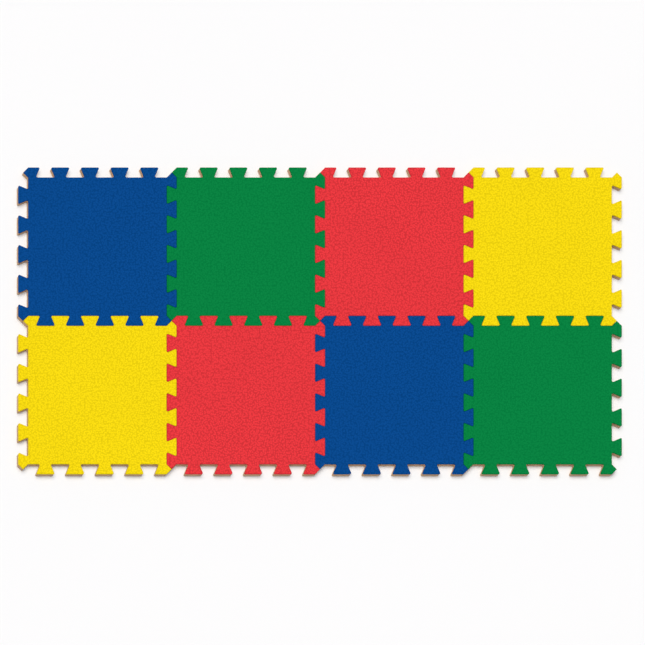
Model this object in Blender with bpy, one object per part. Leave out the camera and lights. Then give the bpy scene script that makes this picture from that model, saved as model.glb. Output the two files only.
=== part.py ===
"""Blocking mats: eight square foam tiles, four wide and two deep, that lock edge to edge.

Knitting is pinned out on them to dry. Each tile is a coloured face sheet bonded to a
thicker tan base, and both are cut to one outline with dovetail teeth on all four sides.
A tooth of one tile fills a slot of the next, so a tile only comes free by lifting.

Metres, +Z up. The mats lie on Z = 0, centred on X and Y. +X runs along the long side,
and +Y points to the back row.
"""

import math

import bmesh
import bpy
from mathutils import Matrix, Vector

# The tile, all of it independent sizes.
TILE_PITCH = 0.305  # from one seam's mid-line to the next
TEETH_PER_SIDE = 5
TOOTH_DEPTH = 0.0205  # from a slot's floor to a tooth's tip
FLANK_ANGLE = math.radians(23)  # how far a tooth's side leans out, which locks the seam
CORNER_RADIUS = 0.0025  # on the teeth and in the slots
TILE_THICKNESS = 0.010
FACE_THICKNESS = 0.002  # of the coloured sheet, within the tile's thickness

# Clearances.
SEAM_CLEARANCE = 0.0003  # between neighbouring tiles, all along the seam
BOND_GAP = 0.0003  # the film between the face sheet and the base

# How finely a tooth's corner is drawn.
ARC_STEPS = 2

# The tiles' colours, from left to right.
BACK_ROW = ("blue", "green", "red", "yellow")
FRONT_ROW = ("yellow", "red", "blue", "green")

FOAM_COLOURS = {
    "blue": (0.004, 0.067, 0.262),
    "green": (0.002, 0.223, 0.054),
    "red": (0.787, 0.041, 0.048),
    "yellow": (0.913, 0.694, 0.006),
    "tan": (0.610, 0.328, 0.147),
}
FOAM_ROUGHNESS = 0.8

# What follows from them.
TOOTH_PITCH = TILE_PITCH / TEETH_PER_SIDE
HALF_DEPTH = TOOTH_DEPTH / 2
FLANK_RUN = TOOTH_DEPTH * math.tan(FLANK_ANGLE)
TIP_WIDTH = TOOTH_PITCH / 2 + FLANK_RUN
ROOT_WIDTH = TOOTH_PITCH / 2 - FLANK_RUN
BASE_TOP = TILE_THICKNESS - FACE_THICKNESS - BOND_GAP
FACE_BOTTOM = TILE_THICKNESS - FACE_THICKNESS


def clear_scene():
    """Remove whatever the open file holds."""
    for item in list(bpy.data.objects):
        bpy.data.objects.remove(item, do_unlink=True)


def side_corners():
    """One side's corners, as (along, outward, rounded), from the start of the side.

    Along runs on the seam's mid-line and outward leaves the tile. The first tooth has
    its outer half cut off at 45 degrees, so that four tiles meet point to point, and the
    last slot ends at the next side's point.
    """
    first_middle = TOOTH_PITCH / 4
    corners = [
        (0, 0, False),
        (HALF_DEPTH, HALF_DEPTH, False),
        (first_middle + TIP_WIDTH / 2, HALF_DEPTH, True),
        (first_middle + ROOT_WIDTH / 2, -HALF_DEPTH, True),
    ]
    for tooth in range(1, TEETH_PER_SIDE):
        middle = first_middle + tooth * TOOTH_PITCH
        corners += [
            (middle - ROOT_WIDTH / 2, -HALF_DEPTH, True),
            (middle - TIP_WIDTH / 2, HALF_DEPTH, True),
            (middle + TIP_WIDTH / 2, HALF_DEPTH, True),
            (middle + ROOT_WIDTH / 2, -HALF_DEPTH, True),
        ]
    corners.append((TILE_PITCH - HALF_DEPTH, -HALF_DEPTH, False))
    return corners


def seam_line():
    """The nominal outline of a tile about its own centre, anticlockwise, unrounded."""
    corners = []
    for quarter in range(4):
        turn = Matrix.Rotation(-quarter * math.pi / 2, 2)
        for along, outward, rounded in side_corners():
            point = turn @ Vector((along - TILE_PITCH / 2, outward + TILE_PITCH / 2))
            corners.append((point, rounded))
    corners.reverse()
    return corners


def inward_normal(start, end):
    """The unit normal on the left of an edge, which is inside an anticlockwise outline."""
    edge = (end - start).normalized()
    return Vector((-edge.y, edge.x))


def arc_corner(before, corner, after, radius):
    """The points of an arc that rounds one corner, which touches both of its edges."""
    to_before = (before - corner).normalized()
    to_after = (after - corner).normalized()
    half_angle = to_before.angle(to_after) / 2
    bisector = (to_before + to_after).normalized()
    centre = corner + bisector * (radius / math.sin(half_angle))
    start = corner + to_before * (radius / math.tan(half_angle)) - centre
    swept = math.pi - 2 * half_angle
    turn = 1 if to_before.cross(to_after) < 0 else -1
    points = []
    for step in range(ARC_STEPS + 1):
        spoke = Matrix.Rotation(turn * swept * step / ARC_STEPS, 2) @ start
        points.append(centre + spoke)
    return points


def tile_outline():
    """A tile's cut edge: the seam line, moved in by half the clearance and rounded.

    An outer corner's radius shrinks by what an inner corner's grows, so the gap between
    two tiles is the same all along the seam.
    """
    nominal = seam_line()
    inset = SEAM_CLEARANCE / 2
    moved = []
    for index, (corner, rounded) in enumerate(nominal):
        before = inward_normal(nominal[index - 1][0], corner)
        after = inward_normal(corner, nominal[(index + 1) % len(nominal)][0])
        shift = (before + after) * (inset / (1 + before.dot(after)))
        is_outer = before.cross(after) > 0
        radius = CORNER_RADIUS - inset if is_outer else CORNER_RADIUS + inset
        moved.append((corner + shift, radius if rounded else 0))
    outline = []
    for index, (corner, radius) in enumerate(moved):
        if radius:
            before = moved[index - 1][0]
            after = moved[(index + 1) % len(moved)][0]
            outline += arc_corner(before, corner, after, radius)
        else:
            outline.append(corner)
    return outline


def layer(name, outline, bottom, top, material, tile):
    """One layer of a tile: the outline, raised from bottom to top, as its own object."""
    shape = bmesh.new()
    rim = [shape.verts.new((point.x, point.y, bottom)) for point in outline]
    floor = shape.faces.new(rim)
    raised = bmesh.ops.extrude_face_region(shape, geom=[floor])["geom"]
    lifted = [item for item in raised if isinstance(item, bmesh.types.BMVert)]
    bmesh.ops.translate(shape, verts=lifted, vec=(0, 0, top - bottom))
    bmesh.ops.recalc_face_normals(shape, faces=shape.faces)
    mesh = bpy.data.meshes.new(name)
    shape.to_mesh(mesh)
    shape.free()
    mesh.materials.append(material)
    item = bpy.data.objects.new(name, mesh)
    item.parent = tile
    bpy.context.collection.objects.link(item)


def foam_material(colour):
    """Matt closed-cell foam in one of the named colours."""
    material = bpy.data.materials.new(f"foam_{colour}")
    material.use_nodes = True
    shader = material.node_tree.nodes["Principled BSDF"]
    shader.inputs["Base Color"].default_value = (*FOAM_COLOURS[colour], 1)
    shader.inputs["Roughness"].default_value = FOAM_ROUGHNESS
    shader.inputs["Metallic"].default_value = 0
    material.diffuse_color = (*FOAM_COLOURS[colour], 1)
    return material


def build_row(row_name, colours, middle_y, outline, foam):
    """One row of tiles, from left to right, each on an empty at its centre, where it lifts."""
    for place, colour in enumerate(colours):
        tile = bpy.data.objects.new(f"{row_name}_{colour}_tile", None)
        tile.location.x = (place - (len(colours) - 1) / 2) * TILE_PITCH
        tile.location.y = middle_y
        bpy.context.collection.objects.link(tile)
        name = f"{row_name}_{colour}"
        layer(f"{name}_base", outline, 0, BASE_TOP, foam["tan"], tile)
        layer(f"{name}_face", outline, FACE_BOTTOM, TILE_THICKNESS, foam[colour], tile)


def main():
    """Build the eight tiles."""
    clear_scene()
    foam = {colour: foam_material(colour) for colour in FOAM_COLOURS}
    outline = tile_outline()
    build_row("back", BACK_ROW, TILE_PITCH / 2, outline, foam)
    build_row("front", FRONT_ROW, -TILE_PITCH / 2, outline, foam)
    bpy.context.view_layer.update()


main()
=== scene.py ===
"""The looks of a set of blocking mats: eight foam tiles, four wide and two deep.

Each tile is a coloured face sheet on a thicker tan base. Both are struck by one die, so
a tile's outline is modelled once, as a flat blank, and every layer is raised from a copy
of it. The foam's skin, its cut edges and its underside get their own grain.

Metres, +Z up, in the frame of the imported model.
"""

import logging
import math
from collections.abc import Callable
from dataclasses import dataclass
from enum import Enum

import bmesh
import bpy
from mathutils import Matrix, Vector


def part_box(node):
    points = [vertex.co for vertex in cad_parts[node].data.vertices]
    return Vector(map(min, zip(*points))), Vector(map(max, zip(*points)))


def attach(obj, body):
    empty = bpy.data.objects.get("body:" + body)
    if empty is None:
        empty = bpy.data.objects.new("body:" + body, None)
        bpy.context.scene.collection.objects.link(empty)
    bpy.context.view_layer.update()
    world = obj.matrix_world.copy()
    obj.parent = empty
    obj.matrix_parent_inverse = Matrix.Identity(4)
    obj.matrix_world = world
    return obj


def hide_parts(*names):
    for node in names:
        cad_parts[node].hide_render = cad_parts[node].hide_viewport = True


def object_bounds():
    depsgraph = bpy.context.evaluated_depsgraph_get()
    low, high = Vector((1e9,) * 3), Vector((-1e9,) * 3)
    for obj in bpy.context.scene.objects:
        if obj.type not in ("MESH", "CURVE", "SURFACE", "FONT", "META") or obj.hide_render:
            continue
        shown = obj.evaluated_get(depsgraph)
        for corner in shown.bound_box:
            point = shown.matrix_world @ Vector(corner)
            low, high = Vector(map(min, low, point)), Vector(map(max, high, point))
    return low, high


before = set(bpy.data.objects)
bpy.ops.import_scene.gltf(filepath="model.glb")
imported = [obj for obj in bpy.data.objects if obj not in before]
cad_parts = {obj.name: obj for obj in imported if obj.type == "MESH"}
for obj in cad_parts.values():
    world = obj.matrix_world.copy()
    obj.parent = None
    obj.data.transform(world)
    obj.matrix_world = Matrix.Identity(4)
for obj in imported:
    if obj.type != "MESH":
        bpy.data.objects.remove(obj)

CAD_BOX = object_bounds()
LOG = logging.getLogger("blocking_mats")
RIM_LAYER = "rim"  # the mesh attribute that is 1 at a tile's rim and 0 away from it
MILLIMETRE = 0.001
ORDER_FROM = (0.0317, 0.1719, 0.4403)  # a place that no two parts of a layer are equally far from
SMOOTH_ANGLE = math.radians(35)  # the sharpest edge that is still shaded smooth

Colour = tuple[float, float, float]
BLACK: Colour = (0.0, 0.0, 0.0)


class Row(Enum):
    """A row of tiles."""

    BACK = "back"
    FRONT = "front"


class Layer(Enum):
    """A layer of a tile, from the bottom up."""

    BASE = "base"
    FACE = "face"


class Side(Enum):
    """A side of a tile, as quarter turns clockwise from the back."""

    BACK = 0
    RIGHT = 1
    FRONT = 2
    LEFT = 3


class Pick(Enum):
    """What is picked on a mesh, as edit mode's select modes name it."""

    POINTS = "VERT"
    EDGES = "EDGE"
    FACES = "FACE"


class Foam(Enum):
    """The foam of each colour, as (material slot, skin colour, contrast of its grain)."""

    BLUE = ("foam_blue", (0.0002, 0.0573, 0.2390), 0.155)
    GREEN = ("foam_green", (0.0001, 0.1998, 0.0456), 0.095)
    RED = ("foam_red", (0.7110, 0.0342, 0.0422), 0.19)
    YELLOW = ("foam_yellow", (0.8370, 0.6300, 0.0029), 0.125)
    TAN = ("foam_tan", (0.5850, 0.3880, 0.2390), 0.14)

    @property
    def slot(self) -> str:
        """The record's material slot."""
        return self.value[0]

    @property
    def colour(self) -> Colour:
        """The foam's colour, linear."""
        return self.value[1]

    @property
    def contrast(self) -> float:
        """How far its darkest and lightest grains are from its colour, as a share of it."""
        return self.value[2]


# ---------------------------------------------------------------------------
# Working by hand: selecting and editing one mesh
# ---------------------------------------------------------------------------


class Bench:
    """Holds one mesh in edit mode and picks its points, edges and faces by place."""

    NEAR = 1e-5  # what counts as the same place, in metres

    def __init__(self, item: bpy.types.Object) -> None:
        """Put an object on the bench.

        Args:
            item: the mesh object to work on.
        """
        self.item = item

    def __enter__(self) -> "Bench":
        """Select the object alone and open it in edit mode.

        Returns:
            The bench.
        """
        take_up(self.item)
        bpy.ops.object.mode_set(mode="EDIT")
        return self

    def __exit__(self, *_: object) -> None:
        """Close edit mode."""
        bpy.ops.object.mode_set(mode="OBJECT")

    @property
    def mesh(self) -> bmesh.types.BMesh:
        """The mesh as edit mode has it now."""
        return bmesh.from_edit_mesh(self.item.data)

    def pick(self, kind: Pick, test: Callable[..., bool]) -> None:
        """Select just the points, edges or faces that pass a test.

        Args:
            kind: what to pick.
            test: says whether one of them is wanted.
        """
        bpy.ops.mesh.select_mode(type=kind.value)
        bpy.ops.mesh.select_all(action="DESELECT")
        mesh = self.mesh
        parts = {Pick.POINTS: mesh.verts, Pick.EDGES: mesh.edges, Pick.FACES: mesh.faces}
        for part in [part for part in parts[kind] if test(part)]:
            part.select_set(True)
        bmesh.update_edit_mesh(self.item.data)

    def pick_all(self) -> None:
        """Select every face."""
        bpy.ops.mesh.select_mode(type=Pick.FACES.value)
        bpy.ops.mesh.select_all(action="SELECT")

    def slice(self, axis: int, place: float) -> None:
        """Cut the selected faces across with a plane, square to one axis.

        Args:
            axis: 0, 1 or 2.
            place: where the plane stands along it.
        """
        normal = Vector((0, 0, 0))
        normal[axis] = 1
        bpy.ops.mesh.bisect(plane_co=normal * place, plane_no=normal)

    def extrude(self, by: Vector) -> None:
        """Extrude what is selected.

        Args:
            by: how far, and which way.
        """
        bpy.ops.mesh.extrude_region_move(TRANSFORM_OT_translate={"value": by})

    def level(self, height: float) -> Callable[..., bool]:
        """A test for edges and faces that lie flat at one height.

        Args:
            height: the height.

        Returns:
            The test.
        """
        return lambda part: all(abs(end.co.z - height) < self.NEAR for end in part.verts)


def lay_down_all() -> None:
    """Deselect every object."""
    bpy.ops.object.select_all(action="DESELECT")


def take_up(item: bpy.types.Object) -> None:
    """Select one object alone and make it the active one.

    Args:
        item: the object.
    """
    lay_down_all()
    item.select_set(True)
    bpy.context.view_layer.objects.active = item


def copy_of(item: bpy.types.Object, name: str, place: Vector) -> bpy.types.Object:
    """Copy an object with its own mesh, and put the copy's place into that mesh.

    Args:
        item: what to copy.
        name: the copy's name.
        place: how far the copy is moved.

    Returns:
        The copy, with its object at the origin.
    """
    take_up(item)
    bpy.ops.object.duplicate(linked=False)
    copy = bpy.context.active_object
    copy.name = name
    copy.data.name = name
    copy.location = place
    bpy.ops.object.transform_apply(location=True, rotation=False, scale=False)
    return copy


# ---------------------------------------------------------------------------
# Shader nodes, written as expressions
# ---------------------------------------------------------------------------


class Value:
    """A number in a shader: arithmetic on it adds the Math nodes."""

    def __init__(self, graph: "Graph", socket: bpy.types.NodeSocket) -> None:
        """Wrap an output socket.

        Args:
            graph: the graph that the socket is in.
            socket: the output.
        """
        self.graph = graph
        self.socket = socket

    def maths(self, operation: str, *operands: "Value | float") -> "Value":
        """Add one Math node.

        Args:
            operation: the Math node's operation.
            operands: its values, in order.

        Returns:
            Its result.
        """
        settings = {"operation": operation}
        made = self.graph.node("ShaderNodeMath", settings, dict(enumerate(operands)))
        return Value(self.graph, made.outputs[0])

    def __add__(self, other: "Value | float") -> "Value":
        """Add."""
        return self.maths("ADD", self, other)

    __radd__ = __add__

    def __sub__(self, other: "Value | float") -> "Value":
        """Subtract."""
        return self.maths("SUBTRACT", self, other)

    def __rsub__(self, other: "Value | float") -> "Value":
        """Subtract this from a number."""
        return self.maths("SUBTRACT", other, self)

    def __mul__(self, other: "Value | float") -> "Value":
        """Multiply."""
        return self.maths("MULTIPLY", self, other)

    __rmul__ = __mul__

    def __abs__(self) -> "Value":
        """Drop the sign."""
        return self.maths("ABSOLUTE", self)

    def wave(self, length: float) -> "Value":
        """A sine wave along this value.

        Args:
            length: the wave's length.

        Returns:
            The wave, from -1 to 1.
        """
        return self.maths("SINE", self * (2 * math.pi / length))

    def clamped(self) -> "Value":
        """Keep between 0 and 1."""
        low = self.maths("MAXIMUM", self, 0.0)
        return self.maths("MINIMUM", low, 1.0)

    def rising(self, start: float, end: float) -> "Value":
        """Rise smoothly from 0 to 1.

        Args:
            start: where it is 0.
            end: where it is 1.

        Returns:
            The smooth step.
        """
        made = self.graph.node(
            "ShaderNodeMapRange",
            {"interpolation_type": "SMOOTHSTEP", "clamp": True},
            {"Value": self, "From Min": start, "From Max": end, "To Min": 0.0, "To Max": 1.0},
        )
        return Value(self.graph, made.outputs[0])


class Graph:
    """The nodes of one material, or of the room."""

    MIX_SHARE, MIX_FIRST, MIX_SECOND, MIX_RESULT = 0, 6, 7, 2  # a colour Mix node's sockets

    def __init__(
        self, owner: bpy.types.Material | bpy.types.World, shader: str, coordinates: str
    ) -> None:
        """Start with the shader and output only, and find the place that is shaded.

        Args:
            owner: what has the nodes.
            shader: the shader node's name.
            coordinates: which of the texture coordinates the place is given in.
        """
        owner.use_nodes = True
        self.owner = owner
        self.tree = owner.node_tree
        self.shader = self.tree.nodes[shader]
        self.place = self.node("ShaderNodeTexCoord").outputs[coordinates]
        split = self.node("ShaderNodeSeparateXYZ", {}, {"Vector": self.place})
        self.x, self.y, self.z = (Value(self, output) for output in split.outputs)

    @classmethod
    def of_material(cls, name: str) -> "Graph":
        """Start a material, whose place is on the piece itself.

        Args:
            name: the material's name.

        Returns:
            Its graph.
        """
        return cls(bpy.data.materials.new(name), "Principled BSDF", "Object")

    @classmethod
    def of_room(cls, name: str) -> "Graph":
        """Start a room, whose place is a direction.

        Args:
            name: the room's name.

        Returns:
            Its graph.
        """
        return cls(bpy.data.worlds.new(name), "Background", "Generated")

    def node(
        self,
        kind: str,
        settings: dict[str, object] | None = None,
        inputs: dict[str | int, object] | None = None,
    ) -> bpy.types.Node:
        """Add a node.

        Args:
            kind: the node's type.
            settings: its own settings, which are set first.
            inputs: a value, a Value or a socket for each input, by its name or number.

        Returns:
            The node.
        """
        made = self.tree.nodes.new(kind)
        for key, setting in (settings or {}).items():
            setattr(made, key, setting)
        for key, given in (inputs or {}).items():
            self.feed(made.inputs[key], given)
        return made

    def feed(self, socket: bpy.types.NodeSocket, given: object) -> None:
        """Link a socket or set its value.

        Args:
            socket: the input.
            given: a Value, an output socket, or a plain value.
        """
        if isinstance(given, Value):
            given = given.socket
        if isinstance(given, bpy.types.NodeSocket):
            self.tree.links.new(given, socket)
        else:
            socket.default_value = given

    def set(self, **inputs: object) -> None:
        """Feed the shader's own sockets, named with _ for each space.

        Args:
            inputs: what each socket gets.
        """
        for key, given in inputs.items():
            self.feed(self.shader.inputs[key.replace("_", " ")], given)

    def stretched(self, x: float, y: float, z: float) -> bpy.types.NodeSocket:
        """The piece's coordinates, scaled along each axis.

        Args:
            x: the scale along X.
            y: along Y.
            z: along Z.

        Returns:
            The scaled coordinates.
        """
        made = self.node("ShaderNodeMapping", {}, {"Vector": self.place, "Scale": (x, y, z)})
        return made.outputs[0]

    def noise(
        self, size: float, detail: float = 2.0, where: bpy.types.NodeSocket | None = None
    ) -> Value:
        """Cloudy noise.

        Args:
            size: the width of its blotches, in metres.
            detail: how much finer noise is added.
            where: the coordinates, or the piece's own.

        Returns:
            The noise, from 0 to 1 with its middle at 0.5.
        """
        inputs = {"Vector": where or self.place, "Scale": 1 / size, "Detail": detail}
        made = self.node("ShaderNodeTexNoise", {}, inputs)
        return Value(self, made.outputs[0])

    def cells(self, size: float, flat: bool = False) -> Value:
        """Rounded cells.

        Args:
            size: a cell's width, in metres.
            flat: whether the cells lie on the level, and not through the whole foam.

        Returns:
            0 at a cell's middle, rising towards its rim.
        """
        settings = {"feature": "F1", "voronoi_dimensions": "2D" if flat else "3D"}
        inputs = {"Vector": self.place, "Scale": 1 / size}
        made = self.node("ShaderNodeTexVoronoi", settings, inputs)
        return Value(self, made.outputs["Distance"])

    def attribute(self, layer: str) -> Value:
        """A value that is stored on the mesh's points.

        Args:
            layer: the attribute's name.

        Returns:
            The value.
        """
        made = self.node("ShaderNodeAttribute", {"attribute_name": layer})
        return Value(self, made.outputs["Fac"])

    def facing(self, axis: str) -> Value:
        """How far the surface faces along an axis.

        Args:
            axis: X, Y or Z.

        Returns:
            1 along the axis, 0 across it and -1 against it.
        """
        normal = self.node("ShaderNodeNewGeometry").outputs["Normal"]
        split = self.node("ShaderNodeSeparateXYZ", {}, {"Vector": normal})
        return Value(self, split.outputs[axis])

    def blend(self, share: Value | float, first: object, second: object) -> bpy.types.NodeSocket:
        """Mix two colours.

        Args:
            share: how much of the second there is, from 0 to 1.
            first: a colour, or a colour's socket.
            second: the same.

        Returns:
            The mixed colour.
        """
        inputs = {self.MIX_SHARE: share}
        for key, colour in ((self.MIX_FIRST, first), (self.MIX_SECOND, second)):
            inputs[key] = (*colour, 1.0) if isinstance(colour, tuple) else colour
        made = self.node("ShaderNodeMix", {"data_type": "RGBA"}, inputs)
        return made.outputs[self.MIX_RESULT]

    def bumped(self, height: Value) -> bpy.types.NodeSocket:
        """A normal from a height.

        Args:
            height: the height, in millimetres.

        Returns:
            The normal.
        """
        inputs = {"Height": height, "Distance": MILLIMETRE, "Strength": 1.0}
        return self.node("ShaderNodeBump", {}, inputs).outputs[0]


WHITEST = 0.97  # the palest that a colour's red, green or blue becomes
NOISE_MIDDLE = 0.5  # the value that a noise goes up and down about
PIT_EDGE = (0.08, 0.42)  # how far from a cut cell's middle its pit starts to fade, and is gone


def shade(colour: Colour, share: float, painted_glint: float = 0.0) -> Colour:
    """Scale a colour's brightness.

    Args:
        colour: the colour, linear.
        share: how bright it becomes, as a share of what it was.
        painted_glint: how much white is added, as a painted glint.

    Returns:
        The scaled colour, which stays under white.
    """
    return tuple(min(part * share + painted_glint, WHITEST) for part in colour)


# ---------------------------------------------------------------------------
# Finishes
# ---------------------------------------------------------------------------


@dataclass(frozen=True)
class SkinFinish:
    """The coloured sheet: a pebbled, matt skin above, and closed cells where it is cut.

    Widths are in metres, heights in millimetres, and shades are shares of the foam's own
    brightness. A weight says how much something changes the mottled colour.
    """

    foam: Foam
    turn: tuple[float, float] = (0.35, 0.95)  # how far up the skin's edge and the skin face
    pebble: float = 0.0040
    pebble_height: float = 0.16
    dome: float = 2.5  # how steeply a pebble falls away from its middle
    valley: tuple[float, float] = (0.25, 0.62)  # where the dip between two pebbles starts, ends
    valley_mean: float = 0.45
    # painted shade: how much the dips between pebbles are darkened
    valley_painted_shade: float = 0.7
    grain_share: float = 0.6  # the grain's width, as a share of a pebble's
    grain_height: float = 0.5  # and its height, as a share of a pebble's
    grain_weight: float = 1.9
    blotch: float = 0.11  # the faint cloudiness in the colour
    blotch_weight: float = 0.25
    pore: float = 0.0006  # a cell of the cut foam
    pore_height: float = 0.04
    # painted shade in the hollows of the cut cells
    pore_painted_shade: float = 0.78
    cut_shade: float = 0.95  # between the pores
    painted_rim_shade: float = 0.86  # painted shade along the skin's rim, as a share of its brightness
    painted_glint: float = 0.001  # painted glint: white added to the lightest grains
    roughness: float = 0.6
    valley_roughness: float = 0.14  # what the dips add
    cut_roughness: float = 0.2  # what the cut edge adds
    gloss: float = 0.03  # the strength of the sheen

    def material(self) -> bpy.types.Material:
        """Make the material.

        Returns:
            The material.
        """
        graph = Graph.of_material(self.foam.slot)
        colour = self.foam.colour
        upward = graph.facing("Z").rising(*self.turn)
        rim = graph.attribute(RIM_LAYER)
        pebbles = graph.cells(self.pebble, flat=True)
        pits = 1 - graph.cells(self.pore).rising(*PIT_EDGE)
        clouds = graph.noise(self.blotch, 1.0)
        grain = graph.noise(self.pebble * self.grain_share, 3.0)
        valleys = pebbles.rising(*self.valley)

        mottle = (
            NOISE_MIDDLE
            + (grain - NOISE_MIDDLE) * self.grain_weight
            + (clouds - NOISE_MIDDLE) * self.blotch_weight
            # the dips between pebbles get painted shade
            - (valleys - self.valley_mean) * self.valley_painted_shade
        )
        low = shade(colour, 1 - self.foam.contrast)
        # the lightest grains get a painted glint of white
        high = shade(colour, 1 + self.foam.contrast, self.painted_glint)
        skin = graph.blend(mottle.clamped(), low, high)
        # painted shade: the skin is darkened towards black along the rim
        rim_shaded_skin = graph.blend(rim * (1 - self.painted_rim_shade), skin, BLACK)
        # the pores of the cut edge get painted shade
        cut = graph.blend(pits, shade(colour, self.cut_shade), shade(colour, self.pore_painted_shade))

        domes = self.grain_height * grain - pebbles * pebbles * self.dome
        height = domes * self.pebble_height * upward - pits * self.pore_height * (1 - upward)
        rough = self.roughness + self.valley_roughness * valleys
        graph.set(
            Base_Color=graph.blend(upward, cut, rim_shaded_skin),
            Roughness=rough + self.cut_roughness * (1 - upward),
            Normal=graph.bumped(height),
            Metallic=0.0,
            Specular_IOR_Level=self.gloss,
        )
        return graph.owner


@dataclass(frozen=True)
class CoreFinish:
    """The tan base: knife-cut edges with closed cells, and a cross-ribbed underside.

    Widths are in metres, heights in millimetres, and shades are shares of the foam's own
    brightness. A weight says how much something changes the mottled colour.
    """

    foam: Foam
    turn: tuple[float, float] = (0.5, 0.95)  # how far down the edge and the underside face
    pore: float = 0.0007  # a cell of the cut foam
    pore_height: float = 0.06
    # painted shade in the hollows of the cut cells
    pore_painted_shade: float = 0.74
    speckle_share: float = 1.6  # the speckle's width, as a share of a cell's
    speckle_weight: float = 1.6
    blotch: float = 0.04  # the faint cloudiness in the colour
    blotch_weight: float = 0.7
    drag: float = 0.0011  # the marks that the die drags down the edge
    drag_rate: float = 60.0  # how fast they change down the edge, for each metre
    drag_height: float = 0.05
    drag_weight: float = 0.9
    rib: float = 0.006  # from one rib of the underside to the next
    rib_height: float = 0.3
    groove_painted_shade: float = 0.86  # painted shade between the ribs of the underside
    roughness: float = 0.82
    speckle_roughness: float = 0.12  # what the speckle adds and takes
    gloss: float = 0.05  # the strength of the sheen

    def material(self) -> bpy.types.Material:
        """Make the material.

        Returns:
            The material.
        """
        graph = Graph.of_material(self.foam.slot)
        colour = self.foam.colour
        downward = (graph.facing("Z") * -1).rising(*self.turn)
        pits = 1 - graph.cells(self.pore).rising(*PIT_EDGE)
        speckle = graph.noise(self.pore * self.speckle_share, 3.0)
        clouds = graph.noise(self.blotch, 2.0)
        drawn_down = graph.stretched(1 / self.drag, 1 / self.drag, self.drag_rate)
        drags = graph.noise(1.0, 1.0, drawn_down)
        wave = self.rib * 2
        ribs = abs((graph.x + graph.y).wave(wave)) * abs((graph.x - graph.y).wave(wave))

        mottle = (
            NOISE_MIDDLE
            + (speckle - NOISE_MIDDLE) * self.speckle_weight
            + (clouds - NOISE_MIDDLE) * self.blotch_weight
            + (drags - NOISE_MIDDLE) * self.drag_weight
        )
        low = shade(colour, 1 - self.foam.contrast)
        high = shade(colour, 1 + self.foam.contrast)
        body = graph.blend(mottle.clamped(), low, high)
        # the pores of the cut edge get painted shade
        cut = graph.blend(pits, body, shade(colour, self.pore_painted_shade))
        # painted shade in the grooves between the ribs
        grooved = graph.blend((1 - ribs) * (1 - self.groove_painted_shade), body, BLACK)

        edge = drags * self.drag_height - pits * self.pore_height
        height = edge * (1 - downward) + ribs * self.rib_height * downward
        graph.set(
            Base_Color=graph.blend(downward, cut, grooved),
            Roughness=self.roughness + self.speckle_roughness * (speckle - NOISE_MIDDLE),
            Normal=graph.bumped(height),
            Metallic=0.0,
            Specular_IOR_Level=self.gloss,
        )
        return graph.owner


# ---------------------------------------------------------------------------
# The tiles
# ---------------------------------------------------------------------------


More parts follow.
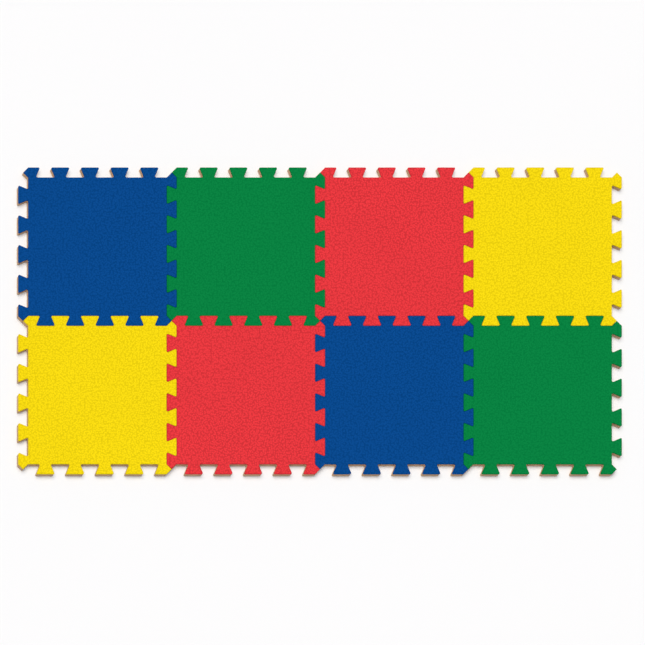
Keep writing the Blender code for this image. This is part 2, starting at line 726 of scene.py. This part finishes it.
@dataclass(frozen=True)
class TileDie:
    """The knife that every tile is struck with. It models the outline as a flat blank."""

    pitch: float  # from one seam's mid-line to the next
    depth: float  # from a slot's floor to a tooth's tip
    clearance: float = 0.0003  # between neighbouring tiles
    teeth: int = 5  # on each side
    flank_angle: float = math.radians(23)  # how far a tooth's side leans out
    first_tooth: float = 0.25  # its middle, from the corner, as a share of the tooth pitch
    corner_radius: float = 0.0025  # on the teeth and in the slots
    corner_steps: int = 6
    straight: float = math.radians(0.5)  # the turn under which two edges are one
    spare_angle: float = math.radians(1)  # how near the sharp angle a rounded corner is

    @classmethod
    def from_frame(cls) -> "TileDie":
        """Read the die's sizes from the two back tiles on the left.

        Returns:
            The die.
        """
        first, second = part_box("back_blue_base"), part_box("back_green_base")
        pitch = second[0].x - first[0].x
        width = first[1].x - first[0].x
        return cls(pitch=pitch, depth=width - pitch + cls.clearance)

    @property
    def tooth_pitch(self) -> float:
        """From one tooth's middle to the next."""
        return self.pitch / self.teeth

    @property
    def flank_run(self) -> float:
        """How much a tooth's side leans out over its whole depth."""
        return self.depth * math.tan(self.flank_angle)

    @property
    def root_width(self) -> float:
        """A tooth's width at its root."""
        return self.tooth_pitch / 2 - self.flank_run

    @property
    def roots(self) -> list[tuple[float, float]]:
        """Where each tooth's root starts and ends along a side.

        The first tooth is the corner's, so its root starts at the body's own corner.

        Returns:
            The start and the end of each.
        """
        spans = []
        for tooth in range(self.teeth):
            middle = (tooth + self.first_tooth) * self.tooth_pitch
            spans.append((middle - self.root_width / 2, middle + self.root_width / 2))
        spans[0] = (self.depth / 2, spans[0][1])
        return spans

    def turn(self, side: Side) -> Matrix:
        """The turn that brings the back side to another side.

        Args:
            side: the other side.

        Returns:
            The turn about the tile's middle.
        """
        return Matrix.Rotation(-side.value * math.pi / 2, 3, "Z")

    def on_side(self, side: Side, along: float, outward: float) -> Vector:
        """A point on a side.

        Args:
            side: the side.
            along: how far along the seam's mid-line, clockwise.
            outward: how far out from it.

        Returns:
            The point, about the tile's middle.
        """
        local = Vector((along - self.pitch / 2, outward + self.pitch / 2, 0))
        return self.turn(side) @ local

    def strike(self) -> bpy.types.Object:
        """Model the blank: a flat face with the tile's outline, at height 0.

        Returns:
            The blank, about its own middle.
        """
        lay_down_all()
        bpy.ops.mesh.primitive_plane_add(size=self.pitch - self.depth)
        blank = bpy.context.active_object
        blank.name = "tile_blank"
        with Bench(blank) as bench:
            self._mark_roots(bench)
            for side in Side:
                for span in self.roots:
                    self._draw_tooth(bench, side, span)
                self._point_corner(bench, side)
            bench.pick_all()
            bpy.ops.mesh.dissolve_limited(angle_limit=self.straight)
            self._round_corners(bench)
            self._trim_clearance(bench)
        return blank

    def _mark_roots(self, bench: Bench) -> None:
        """Cut across the body wherever a tooth's root starts or ends.

        Args:
            bench: holds the body.
        """
        marks = [end for _, end in self.roots] + [start for start, _ in self.roots[1:]]
        for mark in marks:
            for place in (mark - self.pitch / 2, self.pitch / 2 - mark):
                for axis in (0, 1):
                    bench.pick_all()
                    bench.slice(axis, place)

    def _draw_tooth(self, bench: Bench, side: Side, span: tuple[float, float]) -> None:
        """Extrude one tooth from its root, and lean its sides out.

        Args:
            bench: holds the body.
            side: the side that the tooth is on.
            span: where its root starts and ends.
        """
        start, end = span
        half = self.depth / 2
        ends = (self.on_side(side, start, -half), self.on_side(side, end, -half))
        bench.pick(Pick.EDGES, lambda edge: joins(edge, *ends))
        out = self.turn(side) @ Vector((0, self.depth, 0))
        bench.extrude(out)
        lean = self.turn(side) @ Vector((self.flank_run, 0, 0))
        bench.pick(Pick.POINTS, lambda point: same_place(point.co, ends[1] + out))
        bpy.ops.transform.translate(value=lean)
        if start > half:
            bench.pick(Pick.POINTS, lambda point: same_place(point.co, ends[0] + out))
            bpy.ops.transform.translate(value=-lean)

    def _point_corner(self, bench: Bench, side: Side) -> None:
        """Pull the corner tooth's outer edge out to the point where four tiles meet.

        Args:
            bench: holds the blank.
            side: the side that starts with this tooth.
        """
        half = self.depth / 2
        foot, tip = self.on_side(side, half, -half), self.on_side(side, half, half)
        bench.pick(Pick.EDGES, lambda edge: joins(edge, foot, tip))
        bpy.ops.mesh.subdivide(number_cuts=1)
        bench.pick(Pick.POINTS, lambda point: same_place(point.co, (foot + tip) / 2))
        bpy.ops.transform.translate(value=self.turn(side) @ Vector((-half, 0, 0)))

    def _round_corners(self, bench: Bench) -> None:
        """Round every corner of the teeth and slots.

        Args:
            bench: holds the blank.
        """
        sharp = math.pi / 2 - self.flank_angle
        bench.pick(Pick.POINTS, lambda point: corner_angle(point) < sharp + self.spare_angle)
        bpy.ops.mesh.bevel(
            affect="VERTICES",
            offset=self.corner_radius / math.tan(sharp / 2),
            segments=self.corner_steps,
        )

    def _trim_clearance(self, bench: Bench) -> None:
        """Take half the seam's clearance off all round.

        Args:
            bench: holds the blank.
        """
        bench.pick_all()
        bpy.ops.mesh.inset(thickness=self.clearance / 2, use_even_offset=True)
        bpy.ops.mesh.select_all(action="INVERT")
        bpy.ops.mesh.delete(type="FACE")


def same_place(first: Vector, second: Vector) -> bool:
    """Whether two points are in one place."""
    return (first - second).length < Bench.NEAR


def joins(edge: bmesh.types.BMEdge, first: Vector, second: Vector) -> bool:
    """Whether an edge joins two places, either way round.

    Args:
        edge: the edge.
        first: one place.
        second: the other.

    Returns:
        Whether it does.
    """
    start, end = (point.co for point in edge.verts)
    straight = same_place(start, first) and same_place(end, second)
    return straight or same_place(start, second) and same_place(end, first)


def corner_angle(point: bmesh.types.BMVert) -> float:
    """The angle between the two edges at a point of a flat outline."""
    first, second = (edge.other_vert(point).co - point.co for edge in point.link_edges)
    return first.angle(second)


@dataclass(frozen=True)
class FaceSheet:
    """The coloured sheet on top of a tile."""

    bottom: float
    top: float
    rim: float = 0.0006  # how far the cut edge is rounded over
    rim_steps: int = 4
    bond_line: float = 0.00015  # the fine groove where the sheet meets the base
    margin: float = 0.0011  # the width of the band inside the rounded rim that gets the painted rim shade
    net: float = 0.0061  # the spacing of the points that the skin's swell moves
    net_start: float = 0.37  # keeps the net off the tile's own lines, as a share of the spacing
    upright: float = 0.999  # how straight up the flat top faces
    swell: float = 0.00022  # how far the skin rises and falls
    swell_width: float = 0.045

    def model(self, blank: bpy.types.Object) -> bpy.types.Object:
        """Raise the sheet from the blank, about the tile's middle.

        Args:
            blank: the flat blank.

        Returns:
            The sheet.
        """
        sheet = copy_of(blank, "face_pattern", Vector((0, 0, self.bottom)))
        with Bench(sheet) as bench:
            bench.pick_all()
            bench.extrude(Vector((0, 0, self.top - self.bottom)))
            turn_outward(bench)
            soften(bench, self.top, self.rim, self.rim_steps)
            soften(bench, self.bottom, self.bond_line, 1)
            bench.pick(Pick.FACES, bench.level(self.top))
            bpy.ops.mesh.inset(thickness=self.margin, use_even_offset=True)
            self._gather_rim()
            self._net(bench)
            put_in_order(bench)
        self._paint_rim(sheet)
        return sheet

    def _gather_rim(self) -> None:
        """Group every point but the inner skin's, which is what is selected."""
        bpy.ops.mesh.select_mode(type=Pick.POINTS.value)
        bpy.ops.mesh.select_all(action="INVERT")
        bpy.ops.object.vertex_group_assign_new()

    def _paint_rim(self, sheet: bpy.types.Object) -> None:
        """Store the rim's group as an attribute that a material can read.

        Args:
            sheet: the sheet, out of edit mode.
        """
        layer = sheet.data.attributes.new(RIM_LAYER, "FLOAT", "POINT")
        for point, stored in zip(sheet.data.vertices, layer.data):
            stored.value = max((member.weight for member in point.groups), default=0.0)

    def _net(self, bench: Bench) -> None:
        """Cut the top into a fine net, so that the skin can rise and fall.

        What the net leaves with more than four corners is cut into even triangles.

        Args:
            bench: holds the sheet.
        """
        reach = max(point.co.x for point in bench.mesh.verts)
        count = int(reach / self.net)
        for axis in (0, 1):
            for step in range(-count, count + 1):
                bench.pick(Pick.FACES, self._is_inner)
                bench.slice(axis, (step + self.net_start) * self.net)
        bench.pick(Pick.FACES, lambda face: len(face.verts) > 4)
        bpy.ops.mesh.quads_convert_to_tris(quad_method="BEAUTY", ngon_method="BEAUTY")

    def _is_inner(self, face: bmesh.types.BMFace) -> bool:
        """Whether a face is part of the flat top."""
        middle = face.calc_center_median().z
        return face.normal.z > self.upright and abs(middle - self.top) < Bench.NEAR


@dataclass(frozen=True)
class BaseSheet:
    """The thick tan layer under a tile's face sheet."""

    top: float
    rim: float = 0.0004  # how far the lower edge is rounded over
    rim_steps: int = 3
    bond_line: float = 0.00015  # the fine groove where the base meets the sheet
    waist: float = 0.0002  # how far the cut edge is drawn in halfway up
    waist_steps: int = 4

    def model(self, blank: bpy.types.Object) -> bpy.types.Object:
        """Raise the base from the blank, about the tile's middle.

        Args:
            blank: the flat blank.

        Returns:
            The base.
        """
        base = copy_of(blank, "base_pattern", Vector((0, 0, 0)))
        with Bench(base) as bench:
            bench.pick_all()
            bench.extrude(Vector((0, 0, self.top)))
            turn_outward(bench)
            soften(bench, 0.0, self.rim, self.rim_steps)
            soften(bench, self.top, self.bond_line, 1)
            self._draw_in(bench)
            put_in_order(bench)
        return base

    def _draw_in(self, bench: Bench) -> None:
        """Draw the cut edge in at its waist, as foam does when the knife lets it go.

        Args:
            bench: holds the base.
        """
        low, high = self.rim, self.top - self.bond_line
        for step in range(1, self.waist_steps):
            height = low + (high - low) * step / self.waist_steps
            bench.pick_all()
            bench.slice(2, height)
            bench.pick(Pick.POINTS, lambda point, at=height: abs(point.co.z - at) < Bench.NEAR)
            share = math.sin(math.pi * step / self.waist_steps)
            bpy.ops.transform.shrink_fatten(value=-self.waist * share, use_even_offset=True)


def turn_outward(bench: Bench) -> None:
    """Point every face of a closed shell outwards."""
    bench.pick_all()
    bpy.ops.mesh.normals_make_consistent(inside=False)


def put_in_order(bench: Bench) -> None:
    """Number a layer's points, edges and faces by place, so that each run numbers them alike.

    Args:
        bench: holds the layer.
    """
    bpy.context.scene.cursor.location = ORDER_FROM
    bench.pick_all()
    bpy.ops.mesh.sort_elements(type="CURSOR_DISTANCE", elements={"VERT", "EDGE", "FACE"})


def soften(bench: Bench, height: float, width: float, steps: int) -> None:
    """Round over the rim of a flat layer.

    Args:
        bench: holds the layer.
        height: the rim's height.
        width: how far the rounding reaches.
        steps: how finely it is made.
    """
    bench.pick(Pick.EDGES, bench.level(height))
    bpy.ops.mesh.bevel(affect="EDGES", offset=width, segments=steps, clamp_overlap=False)


@dataclass(frozen=True)
class FoamTile:
    """One tile: its two layers, in their places, riding on its body."""

    row: Row
    foam: Foam

    @property
    def name(self) -> str:
        """The tile's name, by its row and colour."""
        return f"{self.row.value}_{self.foam.name.lower()}"

    @property
    def middle(self) -> Vector:
        """The tile's middle, on the surface that it lies on."""
        low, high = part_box(f"{self.name}_base")
        return Vector(((low.x + high.x) / 2, (low.y + high.y) / 2, 0))

    def lay(
        self,
        patterns: dict[Layer, bpy.types.Object],
        finishes: dict[Foam, bpy.types.Material],
        sheet: FaceSheet,
    ) -> list[bpy.types.Object]:
        """Copy both layers into place, dress them and fix them to the tile's body.

        Args:
            patterns: the modelled layers, about a tile's middle.
            finishes: each foam's material.
            sheet: the face sheet's sizes.

        Returns:
            The two pieces.
        """
        pieces = []
        for layer, pattern in patterns.items():
            foam = self.foam if layer is Layer.FACE else Foam.TAN
            node = f"{self.name}_{layer.value}"
            piece = copy_of(pattern, f"{node}_foam", self.middle)
            piece.data.materials.clear()
            piece.data.materials.append(finishes[foam])
            if layer is Layer.FACE:
                swell_skin(piece, sheet)
            take_up(piece)
            bpy.ops.object.shade_smooth_by_angle(angle=SMOOTH_ANGLE)
            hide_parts(node)
            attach(piece, f"{self.name}_tile")
            pieces.append(piece)
        return pieces


def swell_skin(piece: bpy.types.Object, sheet: FaceSheet) -> None:
    """Let the skin inside the rim rise and fall a little, as moulded foam does.

    Args:
        piece: the face sheet, in its place.
        sheet: its sizes.
    """
    cloud = bpy.data.textures.get("skin_swell") or bpy.data.textures.new("skin_swell", "CLOUDS")
    cloud.noise_scale = sheet.swell_width
    cloud.noise_depth = 1
    take_up(piece)
    bpy.ops.object.modifier_add(type="DISPLACE")
    swell = piece.modifiers[-1]
    swell.texture = cloud
    swell.texture_coords = "LOCAL"
    swell.direction = "Z"
    swell.mid_level = 1.0
    swell.strength = sheet.swell
    swell.vertex_group = piece.vertex_groups[0].name
    swell.invert_vertex_group = True
    bpy.ops.object.modifier_apply(modifier=swell.name)
    piece.vertex_groups.clear()


@dataclass(frozen=True)
class MatSet:
    """The eight tiles, named from left to right."""

    back: tuple[Foam, ...] = (Foam.BLUE, Foam.GREEN, Foam.RED, Foam.YELLOW)
    front: tuple[Foam, ...] = (Foam.YELLOW, Foam.RED, Foam.BLUE, Foam.GREEN)

    def build(self) -> list[bpy.types.Object]:
        """Strike the blank, model both layers once, and lay every tile.

        Returns:
            All the pieces.
        """
        low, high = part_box("back_blue_face")
        sheet = FaceSheet(bottom=low.z, top=high.z)
        blank = TileDie.from_frame().strike()
        patterns = {
            Layer.BASE: BaseSheet(top=sheet.bottom).model(blank),
            Layer.FACE: sheet.model(blank),
        }
        finishes = {
            foam: (CoreFinish(foam) if foam is Foam.TAN else SkinFinish(foam)).material()
            for foam in Foam
        }
        pieces = []
        for row, foams in ((Row.BACK, self.back), (Row.FRONT, self.front)):
            for foam in foams:
                pieces += FoamTile(row, foam).lay(patterns, finishes, sheet)
        for pattern in (blank, *patterns.values()):
            bpy.data.objects.remove(pattern, do_unlink=True)
        return pieces


# ---------------------------------------------------------------------------
# The studio
# ---------------------------------------------------------------------------


@dataclass(frozen=True)
class Studio:
    """A pale floor, a bright room and one soft lamp high on the left, behind the mats."""

    floor_size: float = 400.0
    floor_colour: Colour = (0.90, 0.895, 0.897)
    floor_patch: float = 0.8  # the width of the paper's faint patches
    floor_patch_shade: float = 0.997  # and how bright they are, as a share of the rest
    floor_drop: float = 0.0002  # so that the floor and the undersides don't share a plane
    lamp_strength: float = 2.69
    lamp_distance: float = 3.0
    lamp_softness: float = math.radians(62)
    lamp_height: float = math.radians(70)  # above the horizon
    lamp_bearing: float = math.radians(140)  # from +X towards +Y
    lamp_colour: Colour = (1.018, 0.962, 0.895)
    room_low: Colour = (0.945, 0.995, 1.045)  # the room at the horizon
    room_high: Colour = (0.271, 0.315, 0.371)  # and overhead
    room_rise: float = 0.22  # how high the horizon's glow reaches, as a sine

    def build(self) -> None:
        """Lay the floor and light it."""
        lay_down_all()
        bpy.ops.mesh.primitive_plane_add(size=self.floor_size, location=(0, 0, -self.floor_drop))
        floor = bpy.context.active_object
        floor.name = "studio_floor"
        paper = Graph.of_material("floor_paper")
        tone = paper.noise(self.floor_patch, 1.0).rising(0.2, 0.8)
        patch = shade(self.floor_colour, self.floor_patch_shade)
        paper.set(
            Base_Color=paper.blend(tone, patch, self.floor_colour),
            Roughness=0.95,
            Specular_IOR_Level=0.02,
        )
        floor.data.materials.append(paper.owner)
        self._hang_lamp()
        self._paint_room()

    def _hang_lamp(self) -> None:
        """Aim a soft, distant lamp at the mats."""
        level = math.cos(self.lamp_height)
        toward_lamp = Vector(
            (
                level * math.cos(self.lamp_bearing),
                level * math.sin(self.lamp_bearing),
                math.sin(self.lamp_height),
            )
        )
        bpy.ops.object.light_add(type="SUN", location=toward_lamp * self.lamp_distance)
        lamp = bpy.context.active_object
        lamp.name = "key_lamp"
        lamp.rotation_euler = toward_lamp.to_track_quat("Z", "Y").to_euler()
        lamp.data.energy = self.lamp_strength
        lamp.data.angle = self.lamp_softness
        lamp.data.color = self.lamp_colour

    def _paint_room(self) -> None:
        """Light the room evenly, brighter at the horizon than overhead."""
        room = Graph.of_room("room")
        rise = room.z.rising(0.0, self.room_rise)
        room.set(Color=room.blend(rise, self.room_low, self.room_high))
        bpy.context.scene.world = room.owner


@dataclass(frozen=True)
class LeaningCamera:
    """A long lens looking down, whose picture plane stays level while its sight leans.

    The mats' square faces keep their right angles, and the near and left edges show, as
    on a view camera whose lens is moved over while its back stays parallel to the mats.
    """

    lens: float = 300.0  # millimetres
    sensor: float = 36.0
    view_width: float = 1.3253  # across the picture, at the mats' faces
    aim_x: float = 0.0048  # the picture's middle, at the mats' faces
    aim_y: float = -0.0037
    lean_x: float = -0.385  # how far the camera stands over, for each metre up
    lean_y: float = -0.493
    far: float = 200.0  # the furthest that it sees

    def build(self, face_height: float) -> None:
        """Set the camera up.

        Args:
            face_height: the height of the mats' faces.
        """
        lean = Vector((self.lean_x, self.lean_y, 1))
        reach = self.view_width * self.lens / self.sensor
        lay_down_all()
        bpy.ops.object.empty_add(location=(0, 0, 0))
        stand = bpy.context.active_object
        stand.name = "camera_stand"
        lay_down_all()
        bpy.ops.object.camera_add(location=(0, 0, reach / lean.length), rotation=(0, 0, 0))
        camera = bpy.context.active_object
        camera.name = "camera"
        camera.data.lens = self.lens
        camera.data.sensor_width = self.sensor
        camera.data.clip_end = self.far
        camera.parent = stand
        camera.matrix_parent_inverse = Matrix(
            (
                (1, 0, lean.x, self.aim_x),
                (0, 1, lean.y, self.aim_y),
                (0, 0, 1, face_height),
                (0, 0, 0, 1),
            )
        )
        bpy.context.scene.camera = camera


def main() -> None:
    """Build the mats, then the room around them, and report each piece."""
    logging.basicConfig(level=logging.INFO, format="%(name)s %(message)s")
    for piece in MatSet().build():
        LOG.info("%s: %d faces", piece.name, len(piece.data.polygons))
    Studio().build()
    LeaningCamera().build(face_height=CAD_BOX[1].z)
    bpy.context.scene.view_settings.view_transform = "Standard"


if __name__ == "__main__":
    main()
